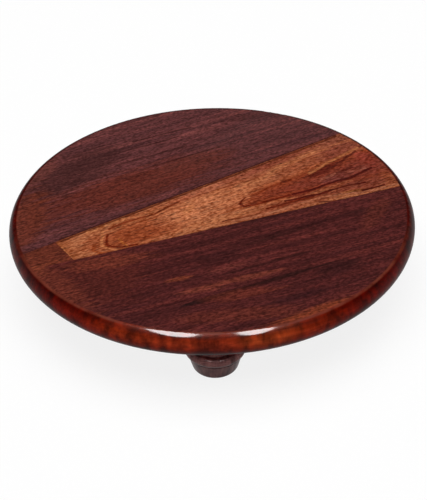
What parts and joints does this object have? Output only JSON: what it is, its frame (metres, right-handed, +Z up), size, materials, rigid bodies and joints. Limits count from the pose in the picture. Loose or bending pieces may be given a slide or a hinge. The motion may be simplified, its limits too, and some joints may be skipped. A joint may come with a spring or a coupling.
{
  "type": "rolling board",
  "caption": "Round footed wooden board for rolling flatbread and pastry dough, with dark planks either side of a light tapered stave.",
  "frame": {"origin": "on the floor, at the centre of the board's plan circle", "axes": "+Z up out of the working face, -Y towards the front foot, +X to the right seen from the front"},
  "size_m": [0.25, 0.25, 0.045],
  "materials": {
    "dark_rosewood": "satin",
    "light_rosewood": "satin",
    "turned_rosewood": "satin",
    "screw_steel": "satin",
    "dowel_beech": "matte"
  },
  "bodies": {
    "root": {"rear_plank": "dark_rosewood", "front_plank": "dark_rosewood", "light_stave": "light_rosewood", "end_block": "dark_rosewood", "foot_front": "turned_rosewood", "foot_rear_right": "turned_rosewood", "foot_rear_left": "turned_rosewood", "foot_screws": "screw_steel", "seam_dowels": "dowel_beech"}
  },
  "joints": []
}
